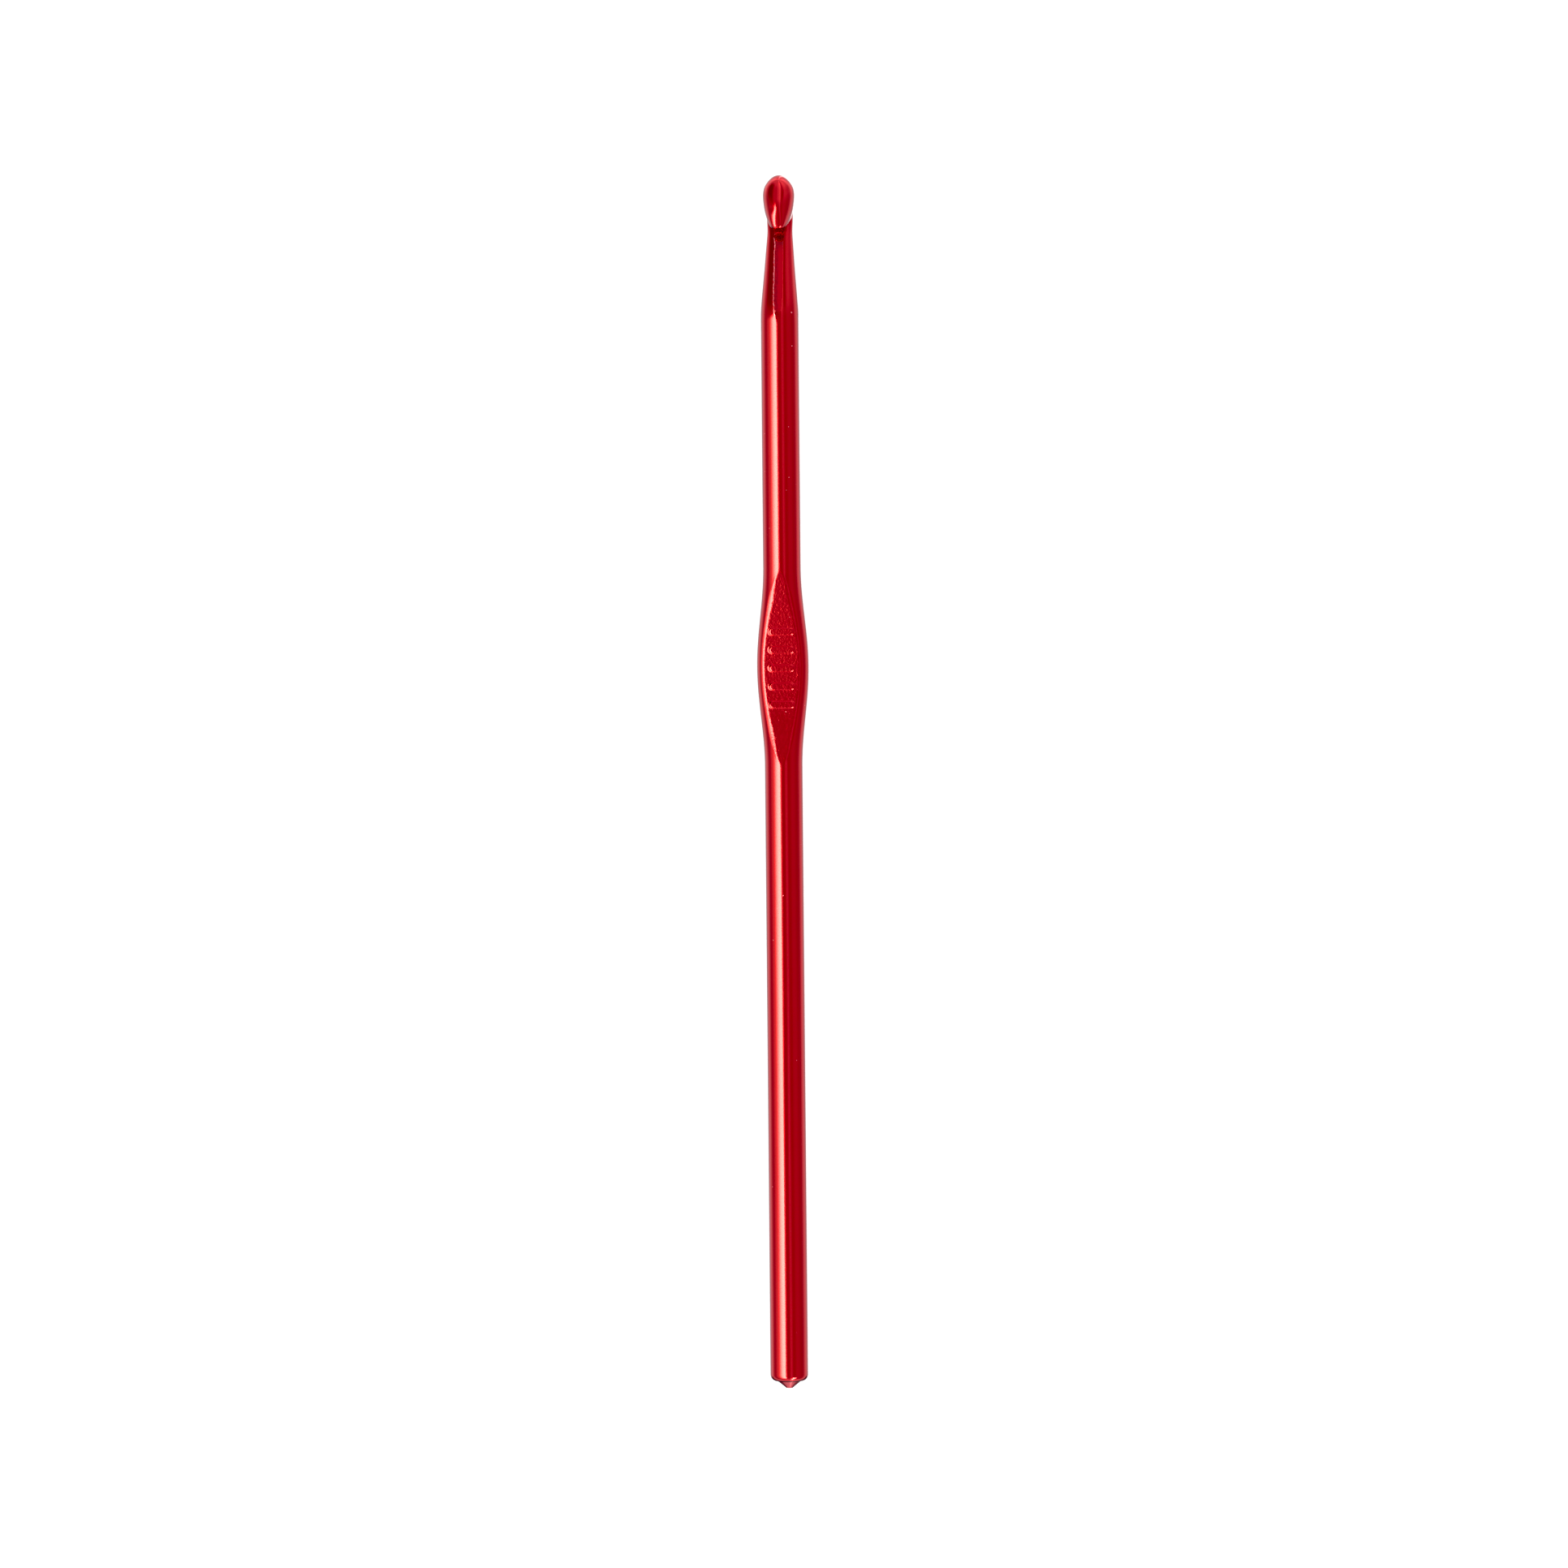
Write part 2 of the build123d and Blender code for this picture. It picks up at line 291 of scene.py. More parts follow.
def ring(start_s, start_z, angle):
    """Section of the hook by the half-plane through the start, at an angle to the axis."""
    span = metal_span(start_s, start_z, angle, 900)
    if span is None:
        return None
    middle = (span[0] + span[1]) / 2
    cos, sin = math.cos(angle), math.sin(angle)

    def inside(rho, y):
        return shape(start_s - rho * cos, y, start_z + rho * sin) < 0

    def surface(ray_rho, ray_y, low, high, halvings):
        """Points where rays from the middle leave the metal, between low and high."""
        for _ in range(halvings):
            half = (low + high) / 2
            within = inside(middle + ray_rho * half, ray_y * half)
            low, high = np.where(within, half, low), np.where(within, high, half)
        half = (low + high) / 2
        return middle + ray_rho * half, ray_y * half

    t = np.linspace(0, 2 * np.pi, DENSE, endpoint=False)
    ray_rho, ray_y = -np.cos(t), np.sin(t)
    steps = np.linspace(0, 5.4, 37)[1:]
    outside = ~inside(middle + np.outer(ray_rho, steps), np.outer(ray_y, steps))
    k = np.argmax(outside, axis=1)
    low = np.where(k > 0, steps[np.maximum(k - 1, 0)], 0.0)
    rho, y = surface(ray_rho, ray_y, low, steps[k], 22)

    # space the vertices by length and by turning, the same on both sides
    d_rho, d_y = np.roll(rho, -1) - rho, np.roll(y, -1) - y
    length = np.hypot(d_rho, d_y)
    heading = np.arctan2(d_y, d_rho)
    turn = np.angle(np.exp(1j * (heading - np.roll(heading, 1))))
    turn = np.abs((turn + np.roll(turn, -1)) / 2)
    for _ in range(6):
        turn = (turn + np.roll(turn, 1) + np.roll(turn, -1)) / 3
    turn = (turn + turn[(-1 - np.arange(DENSE)) % DENSE]) / 2
    weight = (1 - TURN_SHARE) * length / length.sum() + TURN_SHARE * turn / turn.sum()
    travel = np.concatenate([[0], np.cumsum(weight)])
    travel /= travel[-1]
    want = np.arange(N) / N
    ray_rho = np.interp(want, travel, np.append(rho, rho[0])) - middle
    ray_y = np.interp(want, travel, np.append(y, y[0]))

    # back onto the surface along the ray from the middle
    size = np.hypot(ray_rho, ray_y) + 1e-12
    rho, y = surface(ray_rho / size, ray_y / size, size * 0.985, size * 1.015 + 1e-5, 16)
    return np.stack([start_s - rho * cos, y, start_z + rho * sin], axis=1)


def circle(s, r):
    t = np.arange(N) * 2 * np.pi / N
    return np.stack([np.full(N, s), r * np.sin(t), r * np.cos(t)], axis=1)


def with_bars(points):
    """Raises the size bars on the front face of the thumb rest."""
    s, y, z = points.T
    x = HALF - s
    rise = np.zeros(len(x))
    for i in range(BARS):
        bar_x = DIE_X + (i - (BARS - 1) / 2) * BAR_PITCH
        core = (BAR_LEN - BAR_W) / 2
        outside = np.hypot(x - bar_x, np.maximum(np.abs(y) - core, 0)) - BAR_W / 2
        # steep foot, rounded shoulder
        u = np.clip((BAR_FOOT - outside) / (BAR_SHOULDER + BAR_FOOT), 0, 1)
        rise = np.maximum(rise, BAR_H * np.sqrt(np.maximum(1 - (1 - u) ** 2, 0)))
    return np.stack([s, y, z + np.where(z > 1.2, rise, 0)], axis=1)


def fan_rings():
    """Rings from the lip's tip over the nose to the throat, and the point that closes the tip."""
    found = []
    for angle in np.radians(np.linspace(-90, 116, 1650)):
        span = metal_span(FAN_S, FAN_Z, angle, 3600)
        if span is None:
            break
        found.append((angle, *span))
    angles, near, far = np.array(found).T
    cos, sin = np.cos(angles), np.sin(angles)
    outer = np.hypot(np.diff(far * cos), np.diff(far * sin))
    inner = np.hypot(np.diff(near * cos), np.diff(near * sin))
    # closer together towards the lip's tip
    weight = np.maximum(outer, 1.6 * inner)
    weight += 0.0192 * np.exp(-((angles[1:] - angles[-1]) / 0.05) ** 2)
    travel = np.concatenate([[0], np.cumsum(weight)])
    fan = np.interp(np.linspace(0, travel[-1], FAN_RINGS), travel, angles)[:-1]
    fan = np.concatenate([fan, angles[-1] - np.array([0.010, 0.004, 0.0012])])
    fan = np.array(sorted(set(np.round(fan[fan < angles[-1]], 6))))
    rings = [ring(FAN_S, FAN_Z, angle) for angle in fan[::-1]]
    middle = (near[-1] + far[-1]) / 2
    pole = [FAN_S - middle * math.cos(angles[-1]), 0.0, FAN_Z + middle * math.sin(angles[-1])]
    # a ray at the very tip can miss the metal
    return [r for r in rings if r is not None], pole


def spread(start, end, step):
    """Even stations of about the given step, without the end."""
    n = max(1, int(round(abs(end - start) / step)))
    return list(np.linspace(start, end, n + 1)[:-1])


def rest_stations():
    start, end = HALF - REST_X - REST_HALF, HALF - REST_X + REST_HALF
    offsets = [-e for e in BAR_OFFSETS[::-1]] + [0.0] + BAR_OFFSETS
    marks = spread(start, FIRST_BAR_S - 0.75, REST_STEP)
    for i in range(BARS):
        bar_s = FIRST_BAR_S + i * BAR_PITCH
        marks += [bar_s + e for e in offsets + (BETWEEN_BARS if i < BARS - 1 else [])]
    return marks + spread(FIRST_BAR_S + (BARS - 1) * BAR_PITCH + 0.9, end, REST_STEP) + [end]


def rod_rings():
    """Sections square to the rod, from the throat to the tail's corner."""
    # the first station is the fan's last ring
    stations = [s for run in STATION_RUNS for s in spread(*run)][1:]
    rings = []
    for s in stations + ROD_STATIONS + rest_stations() + TAIL_STATIONS:
        if abs(HALF - s - REST_X) < REST_HALF + 0.01:
            rings.append(with_bars(ring(s, ABOVE_Z, SQUARE_DOWN)))
        elif s < ROUND_FROM_S:
            rings.append(ring(s, FAN_Z if s < HEAD_LIMIT_S else ABOVE_Z, SQUARE_DOWN))
        else:
            rings.append(circle(s, ROD_R))
    return rings


def rounded(points, radii, count):
    """A polyline with its inner corners turned to arcs of count steps."""
    out = [points[0]]
    for i, radius in enumerate(radii, 1):
        before, corner, after = (np.array(p, float) for p in points[i - 1:i + 2])
        u = (before - corner) / np.linalg.norm(before - corner)
        v = (after - corner) / np.linalg.norm(after - corner)
        angle = math.acos(float(np.clip(u @ v, -1, 1)))
        reach = radius / math.tan(angle / 2)
        centre = corner + (u + v) / np.linalg.norm(u + v) * radius / math.sin(angle / 2)
        a, b = corner + u * reach - centre, corner + v * reach - centre
        for k in range(count + 1):
            w = k / count
            d = a * math.sin((1 - w) * (math.pi - angle)) + b * math.sin(w * (math.pi - angle))
            out.append(tuple(centre + d / np.linalg.norm(d) * radius))
    return out + [points[-1]]


def tail_rings():
    """Turned corner, shoulder and pip, from a profile of (s, radius)."""
    centre_r = ROD_R - CORNER_R
    corner = [(CORNER_S + CORNER_R * math.sin(q), centre_r + CORNER_R * math.cos(q))
              for q in np.radians(np.linspace(0, 90, 17))][1:-2]
    end_s = 2 * HALF
    pip = [corner[-1], (SHOULDER_S, 1.56), (159.86, 0.58), (end_s, 0.44), (end_s, 0.04)]
    pip = rounded(pip, [0.04, 0.12, 0.07], PIP_ARC_STEPS)
    profile = corner[:-1]
    for (s0, r0), (s1, r1) in zip(pip[:-1], pip[1:]):
        n = max(1, int(math.hypot(s1 - s0, r1 - r0) / PIP_STEP))
        profile += [(s0 + (s1 - s0) * k / n, r0 + (r1 - r0) * k / n) for k in range(n)]
    return [circle(s, r) for s, r in profile + [pip[-1]]]


# =====================================================================
# Hook
# =====================================================================
def finish_masks(s, y, z):
    """Where the finish differs, as 0 to 1 at each vertex."""
    x = HALF - s
    thick = rest_half_thick(x)
    pressed = ease(np.abs(z) - thick, -0.10, -0.02) * ease(ROD_R - thick, 0, 0.10)
    on_facet = (s > FACET_FIRST_S) & (s < 19.7)
    slant = lip_under(s, z)
    under_lip = ease(np.abs(slant), 0.12, 0.02) * ease(s, 7.30, 7.24) * (z < 1.75) * (z > -1.2)
    throat = ease(s, 7.56, 7.32) * ease(s, 5.2, 5.5) * ease(z, 0.0, -0.05) * ease(z, -1.0, -0.7)
    throat = throat * ease(slant, -0.02, 0.02) * ease(np.abs(y), 1.25, 0.55) * 0.8
    return {
        "press": np.where(np.abs(x - DIE_X) < DIE_HALF, pressed, 0),
        "facet": np.where(on_facet, ease(z - facet_z(s), -0.030, -0.008), 0),
        "tail": ease(s, 158.96, 159.06),
        # under the lip and in the throat, where the material paints shade
        "mouth": np.maximum(under_lip, throat),
    }


def build_hook():
    rings, lip_pole = fan_rings()
    rings += rod_rings() + tail_rings()
    points = np.concatenate([np.concatenate(rings), [lip_pole], [[2 * HALF, 0.0, 0.0]]])
    s, y, z = points.T

    lip, tail, last = len(rings) * N, len(rings) * N + 1, (len(rings) - 1) * N
    pairs = [(j, (j + 1) % N) for j in range(N)]
    faces = [(a + k, a + N + k, a + N + j, a + j) for a in range(0, last, N) for j, k in pairs]
    faces += [(k, j, lip) for j, k in pairs]
    faces += [(last + j, last + k, tail) for j, k in pairs]

    mesh = bpy.data.meshes.new("crochet_hook")
    mesh.from_pydata((np.stack([HALF - s, y, z], axis=1) * MM).tolist(), [], faces)
    mesh.validate()
    mesh.update()
    hook = bpy.data.objects.new("crochet_hook", mesh)
    bpy.context.scene.collection.objects.link(hook)
    mesh.polygons.foreach_set("use_smooth", np.ones(len(mesh.polygons), bool))
    for name, mask in finish_masks(s, y, z).items():
        attribute = mesh.attributes.new(name, "FLOAT", "POINT")
        attribute.data.foreach_set("value", mask.astype(np.float32))
    return hook


hook = build_hook()
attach(hook, "root")
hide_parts("hook_body")

# =====================================================================
# Camera: above the hook, which lies rolled six degrees to it
# =====================================================================
ROLL, LEAN, FOV = math.radians(6.0), math.radians(0.526), math.radians(14.0)
VIEW_WIDTH, VIEW_X, SENSOR = 206.85225, -0.35, 36
TO_EYE = Vector((0, -math.sin(ROLL), math.cos(ROLL)))
TO_LEFT = Vector((0, math.cos(ROLL), math.sin(ROLL)))
TO_HEAD = Vector((1, 0, 0))


def build_camera():
    up = TO_HEAD * math.cos(LEAN) - TO_LEFT * math.sin(LEAN)
    right = -(TO_LEFT * math.cos(LEAN) + TO_HEAD * math.sin(LEAN))
    place = Vector((VIEW_X, 0, 0)) * MM + TO_EYE * (VIEW_WIDTH * MM / 2 / math.tan(FOV / 2))
    data = bpy.data.cameras.new("view")
    data.sensor_width = SENSOR
    data.lens = SENSOR / 2 / math.tan(FOV / 2)
    data.clip_start, data.clip_end = 0.01, 20
    camera = bpy.data.objects.new("view", data)
    bpy.context.scene.collection.objects.link(camera)
    rows = [(right[i], up[i], TO_EYE[i], place[i]) for i in range(3)]
    camera.matrix_world = Matrix(rows + [(0, 0, 0, 1)])
    bpy.context.scene.camera = camera


build_camera()


# =====================================================================
# Node helpers
# =====================================================================
class Value:
    """A node's output. Arithmetic on it makes math nodes."""

    def __init__(self, net, socket):
        self.net, self.socket = net, socket

    def __add__(self, other):
        return self.net.math("ADD", self, other)

    def __sub__(self, other):
        return self.net.math("SUBTRACT", self, other)

    def __rsub__(self, other):
        return self.net.math("SUBTRACT", other, self)

    def __mul__(self, other):
        return self.net.math("MULTIPLY", self, other)

    def max(self, other):
        return self.net.math("MAXIMUM", self, other)


class Net:
    """A node tree, started empty."""

    def __init__(self, tree):
        self.tree = tree
        tree.nodes.clear()

    def node(self, kind, inputs=None, **props):
        node = self.tree.nodes.new(kind)
        for key, prop in props.items():
            setattr(node, key, prop)
        for key, source in (inputs or {}).items():
            if isinstance(source, Value):
                source = source.socket
            if isinstance(source, bpy.types.NodeSocket):
                self.tree.links.new(source, node.inputs[key])
            else:
                node.inputs[key].default_value = source
        return node

    def value(self, kind, output=0, inputs=None, **props):
        return Value(self, self.node(kind, inputs, **props).outputs[output])

    def math(self, op, a, b=0.0, c=0.0):
        return self.value("ShaderNodeMath", 0, {0: a, 1: b, 2: c}, operation=op)

    def layers(self, base, *layers):
        """Adds each (mask, gain) to the base."""
        for mask, gain in layers:
            base = self.math("MULTIPLY_ADD", mask, gain, base)
        return base

    def dot(self, a, b):
        return self.value("ShaderNodeVectorMath", "Value", {0: a, 1: b}, operation="DOT_PRODUCT")

    def ramp(self, factor, stops):
        """Grey ramp through (position, level) stops."""
        node = self.node("ShaderNodeValToRGB", {0: factor})
        elements = node.color_ramp.elements
        while len(elements) > 1:
            elements.remove(elements[-1])
        elements[0].position = stops[0][0]
        elements[0].color = (stops[0][1],) * 3 + (1,)
        for position, level in stops[1:]:
            elements.new(position).color = (level,) * 3 + (1,)
        return Value(self, node.outputs[0])

    def fade(self, value, start, end, first=0.0, last=1.0, kind="LINEAR"):
        """Goes from first to last as the value goes from start to end."""
        inputs = {0: value, 1: start, 2: end, 3: first, 4: last}
        return self.value("ShaderNodeMapRange", 0, inputs, interpolation_type=kind)

    def ease(self, value, start, end, first=0.0, last=1.0):
        return self.fade(value, start, end, first, last, "SMOOTHSTEP")

    def band(self, value, start, full, fall, end):
        """1 from full to fall, easing to 0 at start and end."""
        return self.ease(value, start, full) * self.ease(value, fall, end, 1, 0)

    def noise(self, place, scale, detail, rough):
        inputs = {"Vector": place, "Scale": scale, "Detail": detail, "Roughness": rough}
        return self.value("ShaderNodeTexNoise", "Fac", inputs)

    def stretch(self, place, scale):
        return self.node("ShaderNodeMapping", {"Vector": place, "Scale": scale}).outputs["Vector"]

    def mix(self, factor, a, b):
        inputs = {"Factor": factor, "A": a, "B": b}
        return self.node("ShaderNodeMix", inputs, data_type="RGBA").outputs["Result"]


# =====================================================================
# Finish: clear red anodising on bright drawn aluminium
# =====================================================================
DYE, DYE_LIGHT = (0.70, 0.0012, 0.0050, 1), (0.76, 0.0016, 0.0075, 1)
# a dark red for painted shade and darker mottling, and a pale pink for exposed metal, painted
# glints, a painted highlight and a painted reflection
SHADE_AND_MOTTLE_RED, BARE_AND_GLINT_PINK = (0.10, 0.0010, 0.0012, 1), (0.86, 0.26, 0.30, 1)
# nicks that carry painted glints: place, radius
NICK_GLINTS = [((61.7, -1.75, 1.72), 0.15), ((57.3, -1.76, 1.75), 0.11), ((30.4, 1.30, 2.05), 0.10)]


def facet_edge(net, along):
    """Y of the flat's +Y edge, from half chords of the neck's oval."""
    chords = []
    for s in np.linspace(19.3, 8.0, 14):
        neck_s = min(s, NECK_END_S)
        half_depth = float(neck_front(neck_s) - neck_back(neck_s)) / 2
        cut = float(neck_front(s) if s < NECK_END_S else ROD_R) - float(facet_line(s))
        chord = math.sqrt(max(0.0, 1 - (1 - max(cut, 0.0) / half_depth) ** 2))
        chords.append((HALF - float(s), float(neck_half_width(neck_s)) * chord))
    low, high = chords[0][0], chords[-1][0]
    return net.ramp(net.fade(along, low, high), [((x - low) / (high - low), c) for x, c in chords])


def weighted(total, *parts):
    """Adds each mask times its amount to the total."""
    for mask, amount in parts:
        total = total + mask * amount
    return total


def red_anodising():
    material = bpy.data.materials.new("red_anodised_aluminium")
    material.use_nodes = True
    net = Net(material.node_tree)
    place = net.stretch(net.node("ShaderNodeTexCoord").outputs["Object"], (1 / MM,) * 3)
    press, facet, tail, mouth = (
        net.value("ShaderNodeAttribute", "Fac", attribute_name=name)
        for name in ("press", "facet", "tail", "mouth"))
    split = net.node("ShaderNodeSeparateXYZ", {0: place})
    along, across, deep = (Value(net, socket) for socket in split.outputs)

    # patterns: scale per mm, detail, roughness; the drawing lines are stretched along the rod
    draw = net.noise(net.stretch(place, (0.05, 1, 1)), 9.0, 4, 0.6)
    draw_fine = net.noise(net.stretch(place, (0.02, 1, 1)), 26.0, 2, 0.6)
    peel = net.noise(place, 5.2, 3, 0.6)
    peel_fine = net.noise(place, 15.0, 2, 0.5)
    grain = net.noise(place, 3.0, 2, 0.6)
    cloud = net.noise(net.stretch(place, (0.25, 1, 1)), 0.8, 2, 0.5)

    # the scaly end of the flat, next to the mouth
    scaly = net.ease(along, 69.6, 71.4) * facet
    # the burr along the flat's +Y edge, wandering a little, and a band of painted shade inside it
    edge_y = facet_edge(net, along)
    wander = (net.noise(net.stretch(place, (1, 0, 0)), 1.1, 3, 0.7) - 0.5) * 0.30
    offset = edge_y + wander - across
    from_edge = net.math("ABSOLUTE", offset)
    on_neck = net.band(along, 60.9, 61.6, 71.6, 72.0) * net.fade(deep, -0.3, 0.0)
    burr = net.ease(from_edge, 0.03, 0.12, 1, 0) * on_neck
    painted_burr_shade = net.band(offset, 0.03, 0.09, 0.38, 0.72) * on_neck * net.fade(peel, 0.40, 0.58, 0.35)

    # nicks, whose pale specks are partly exposed metal and partly painted glints: one cell in ten
    # has a speck, and a few are placed
    cells = net.node("ShaderNodeTexVoronoi", {"Vector": place, "Scale": 1.2})
    pick = net.value("ShaderNodeSeparateXYZ", 0, {0: cells.outputs["Color"]})
    nick_and_glint = net.ease(cells.outputs["Distance"], 0.035, 0.115, 1, 0)
    nick_and_glint = nick_and_glint * net.math("GREATER_THAN", pick, 0.90)
    for spot, radius in NICK_GLINTS:
        gap = net.value("ShaderNodeVectorMath", "Value", {0: place, 1: spot}, operation="DISTANCE")
        nick_and_glint = nick_and_glint.max(net.ease(gap, 0.3 * radius, radius, 1, 0))

    # relief in mm
    height = weighted(
        draw * 0.0012, (draw_fine, 0.0004), (grain * press, 0.0210), (peel_fine * press, 0.0030),
        (peel * scaly, 0.0022), (peel_fine * tail, 0.004), (burr, 0.016)) - nick_and_glint * 0.005
    bump = net.node("ShaderNodeBump", {"Strength": 1.0, "Distance": MM, "Height": height}).outputs[0]

    rough = weighted(
        net.fade(draw, 0.3, 0.7, 0.10, 0.15), (press, -0.045), (tail, 0.12), (scaly, 0.16),
        (burr, 0.22), (mouth, 0.30), (nick_and_glint, 0.45))

    # painted shade under the lip and in the throat, a painted dark band inside the burr, darker
    # mottling on the scaly patch, and a painted shade line in the shoulder round the pip
    painted_mouth_shade = mouth * net.fade(peel, 0.3, 0.7, 0.70, 0.92)
    shade_and_mottle = (painted_burr_shade * 0.55).max(scaly * net.fade(peel, 0.40, 0.58, 0.55, 0.72))
    # the shoulder round the pip, where a line of shade is painted
    shoulder = net.band(along, -79.17, -79.10, -78.98, -78.90)
    shade_and_mottle = shade_and_mottle.max(shoulder * 0.92)
    shaded_dye = net.mix(painted_mouth_shade.max(shade_and_mottle), net.mix(cloud, DYE, DYE_LIGHT), SHADE_AND_MOTTLE_RED)

    # paler at the nicks, partly exposed metal and partly painted glints; paler along the burr,
    # partly broken dye and partly a painted highlight; and paler pink on the pip, a painted
    # reflection of the white surroundings
    bare_and_painted_light = (nick_and_glint * 0.75).max(burr * net.fade(grain, 0.40, 0.58, 0.15, 0.70))
    # the pip, paler pink as a painted reflection of the white surroundings
    painted_pip_reflection = tail * (1.0 - shoulder)
    bare_and_painted_light = bare_and_painted_light.max(painted_pip_reflection * net.fade(peel, 0.35, 0.65, 0.15, 0.32))

    # the nicks and the frayed burr scatter light instead of mirroring it, so their painted glints
    # and highlight show from every side
    frayed_burr_glint = burr * net.fade(grain, 0.40, 0.58, 0.05, 0.35)
    bsdf = net.node("ShaderNodeBsdfPrincipled", {
        "Base Color": net.mix(bare_and_painted_light, shaded_dye, BARE_AND_GLINT_PINK),
        "Metallic": 1.0 - (nick_and_glint * 0.8).max(frayed_burr_glint),
        "Roughness": rough,
        "Normal": bump,
        # less coat where the shade in the mouth is painted
        "Coat Weight": 0.9 - painted_mouth_shade * 0.6,
        "Coat Roughness": 0.06,
        "Coat IOR": 1.60,
        "Coat Normal": bump,
    })
    net.node("ShaderNodeOutputMaterial", {"Surface": bsdf.outputs[0]})
    return material


hook.data.materials.append(red_anodising())

# =====================================================================
# Stage: white floor, and a studio that the metal mirrors
# =====================================================================
FLOOR_LIGHT, PAPER_WHITE = 1.25, 0.93
FLOOR_HALF, FLOOR_GAP = 3.0, 0.00002     # in metres
ROOM = 0.42
LAMP_BLUE = 0.76                         # the lamps are a little warm


def studio(net, ray):
    """Brightness of the mirrored studio in one direction.

    side is the angle in degrees from straight above the hook, minus to the left and plus
    to the right; rise is the angle towards the head.
    """
    to_left, to_eye, to_head = (net.dot(ray, axis) for axis in (TO_LEFT, TO_EYE, TO_HEAD))
    side = net.math("ARCTAN2", to_left, to_eye) * (-180 / math.pi)
    rise = net.math("ARCSINE", to_head) * (180 / math.pi)
    band, ease = net.band, net.ease

    # a soft lamp on the left and its glow; it is round-topped and ends just above the middle
    lamp = net.layers(band(side, -66, -31, -26, -19) * 11.3, (band(side, -96, -62, -20, -9), 0.62))
    from_lamp = (side + 28.0) * (1 / 12.0)
    brim = net.math("EXPONENT", from_lamp * from_lamp * -1.0) * 6.0
    lamp = lamp * ease(rise - brim, 2.6, 9.0, 1, 0)
    lamp = lamp * ease(rise, -56, -40, 0.03, 1)

    low = net.math("ABSOLUTE", side + 4.0)
    ahead = ease(rise, 12, 24)
    room = net.layers(
        ROOM,
        (band(side, 2, 12, 14, 26), 0.27),              # faint sheen right of the middle
        (band(side, 34, 48, 58, 82), 0.09),             # wall on the right
        (ease(low, 97, 118), 0.36),                     # paper below
        (ease(low, 124, 146), -0.26),                   # dimmer right under the hook
        (band(side, 156, 163, 168, 176), 1.1),          # window light, low on the side
        (band(side, -14, -5, 8, 20) * ahead, 0.18),     # beyond the head, sheen in the middle
        (band(side, 18, 27, 36, 50) * ahead, -0.14))    # and a dark gap to its right
    # brighter beyond the head, but for one dark patch on the left
    above = net.layers(
        ease(rise, 7, 24, 1.0, 1.34),
        (ease(rise, 40, 66), 0.45),
        (ease(rise, 30, 52) * band(side, 5, 40, 90, 130), 0.40),
        (band(side, -102, -82, -60, -38) * band(rise, 9, 24, 50, 68), -0.85))
    room = room * above.max(0.25)
    # the paper is in the hook's own shade right behind the tail
    shade = ease(to_eye, -0.66, -0.48, 1, 0) * ease(to_head, -0.36, -0.14, 1, 0)
    room = room * net.layers(1.0, (shade, -0.85))
    ends = ease(to_head, -0.90, -0.72, 1, 0) * ease(to_eye, -0.48, -0.34)
    room = net.layers(room, (ends, 0.32))
    # a second, smaller lamp beyond the tail, to the right
    lamp = net.layers(lamp, (band(side, 24, 29, 46, 54) * band(rise, -78, -72, -42, -36), 14.0))
    both = room + lamp
    colour = {0: both, 1: both, 2: net.layers(room, (lamp, LAMP_BLUE))}
    return net.node("ShaderNodeCombineColor", colour).outputs[0]


def grey(level):
    return (level,) * 3 + (1,)


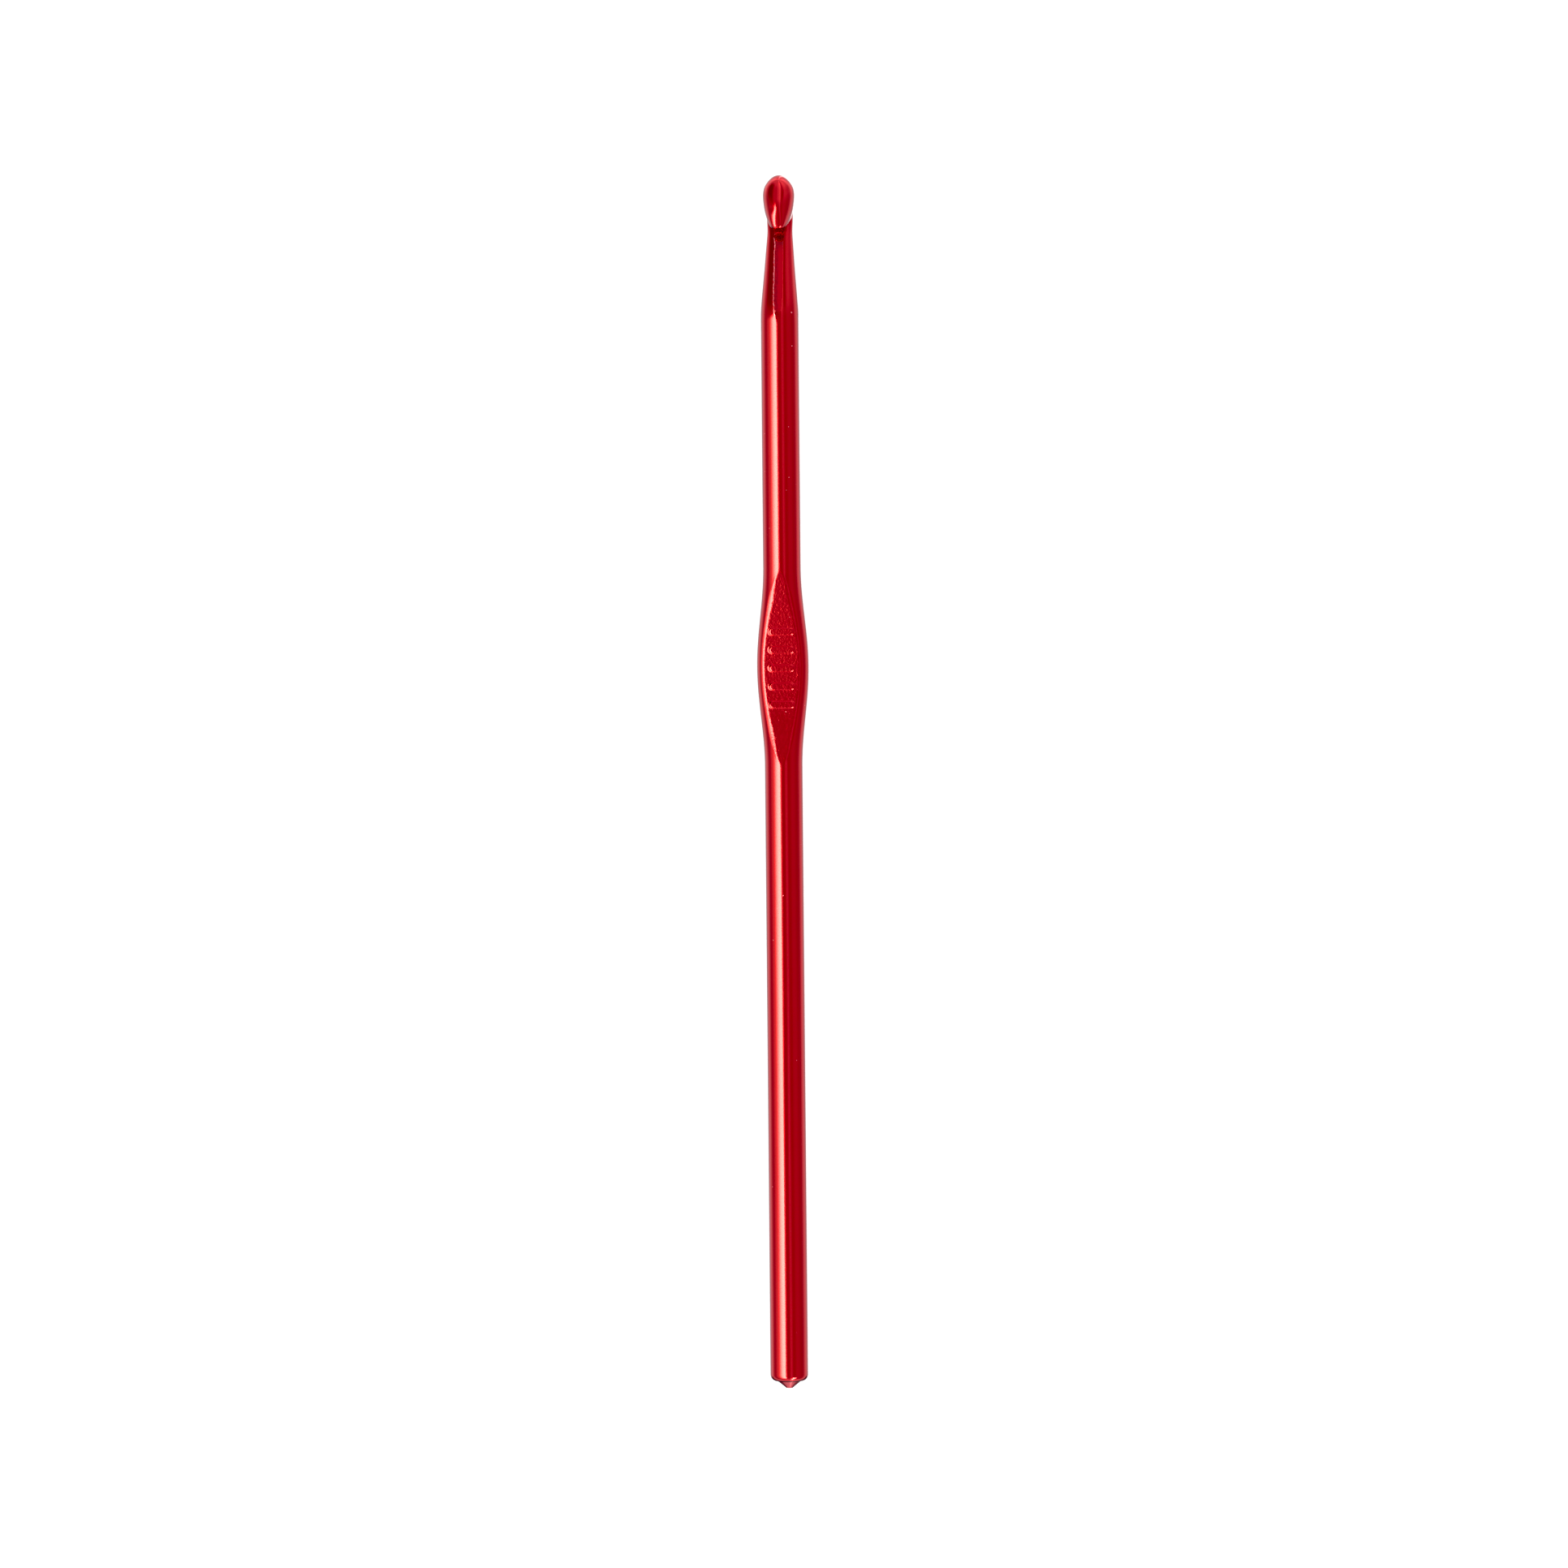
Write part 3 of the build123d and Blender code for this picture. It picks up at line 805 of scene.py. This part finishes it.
def paper():
    """White to the camera, the studio to mirrored rays, and clear from below."""
    material = bpy.data.materials.new("paper")
    material.use_nodes = True
    net = Net(material.node_tree)
    path = net.node("ShaderNodeLightPath").outputs

    def mix(factor, a, b):
        return net.node("ShaderNodeMixShader", {0: factor, 1: a, 2: b}).outputs[0]

    diffuse = net.node("ShaderNodeBsdfDiffuse", {"Color": grey(PAPER_WHITE)}).outputs[0]
    soft = net.node("ShaderNodeBsdfDiffuse", {"Color": grey(0.45)}).outputs[0]
    lift = net.node("ShaderNodeEmission", {"Color": grey(1), "Strength": 0.72}).outputs[0]
    seen = net.node("ShaderNodeAddShader", {0: soft, 1: lift}).outputs[0]
    incoming = net.node("ShaderNodeNewGeometry").outputs["Incoming"]
    reverse = {0: incoming, 1: (-1, -1, -1)}
    ray = net.node("ShaderNodeVectorMath", reverse, operation="MULTIPLY").outputs[0]
    glow = net.node("ShaderNodeEmission", {"Color": studio(net, ray), "Strength": 1.0}).outputs[0]
    clear = net.node("ShaderNodeBsdfTransparent").outputs[0]
    under = net.node("ShaderNodeNewGeometry").outputs["Backfacing"]
    surface = mix(path["Is Camera Ray"], diffuse, seen)
    surface = mix(under, mix(path["Is Glossy Ray"], surface, glow), clear)
    net.node("ShaderNodeOutputMaterial", {"Surface": surface})
    return material


def build_floor():
    mesh = bpy.data.meshes.new("floor")
    corners = [(x * FLOOR_HALF, y * FLOOR_HALF, 0) for x, y in ((-1, -1), (1, -1), (1, 1), (-1, 1))]
    mesh.from_pydata(corners, [], [(0, 1, 2, 3)])
    floor = bpy.data.objects.new("floor", mesh)
    floor.location = (0, 0, -ROD_R * MM - FLOOR_GAP)
    bpy.context.scene.collection.objects.link(floor)
    mesh.materials.append(paper())
    return floor


def build_world():
    world = bpy.data.worlds.new("studio")
    bpy.context.scene.world = world
    world.use_nodes = True
    net = Net(world.node_tree)
    glossy = net.node("ShaderNodeLightPath").outputs["Is Glossy Ray"]
    mirrored = studio(net, net.node("ShaderNodeTexCoord").outputs["Generated"])
    level = net.mix(glossy, grey(FLOOR_LIGHT / PAPER_WHITE), mirrored)
    background = net.node("ShaderNodeBackground", {"Color": level, "Strength": 1.0})
    net.node("ShaderNodeOutputWorld", {"Surface": background.outputs[0]})


build_floor()
build_world()

view = bpy.context.scene.view_settings
view.view_transform = "Standard"
view.look = "None"
view.exposure = 0
view.gamma = 1
# the dye's red is purer than the display's: the other two primaries are cut a little
view.use_curve_mapping = True
view.curve_mapping.black_level = (0.0, 0.030, 0.0215)
view.curve_mapping.update()

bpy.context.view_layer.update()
